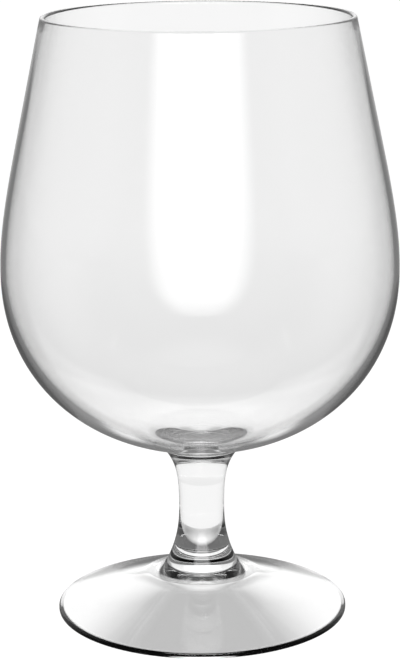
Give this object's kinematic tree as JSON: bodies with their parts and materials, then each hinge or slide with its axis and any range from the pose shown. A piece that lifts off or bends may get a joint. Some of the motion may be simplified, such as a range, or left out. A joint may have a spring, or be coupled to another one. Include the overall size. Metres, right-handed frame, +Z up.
{
  "type": "footed beer glass",
  "caption": "Clear stemmed glass with a full, inward-tapering bowl on a short waisted stem and a round, hollow conical foot.",
  "frame": {"origin": "centre of the ring that the foot stands on, in the plane of the table", "axes": "+Z up along the glass's axis of revolution, towards the mouth; X and Y are alike"},
  "size_m": [0.0916, 0.0916, 0.1403],
  "materials": {
    "clear_glass": "fire-polished, colourless"
  },
  "bodies": {
    "root": {"foot": "clear_glass", "stem": "clear_glass", "bowl": "clear_glass"}
  },
  "joints": []
}
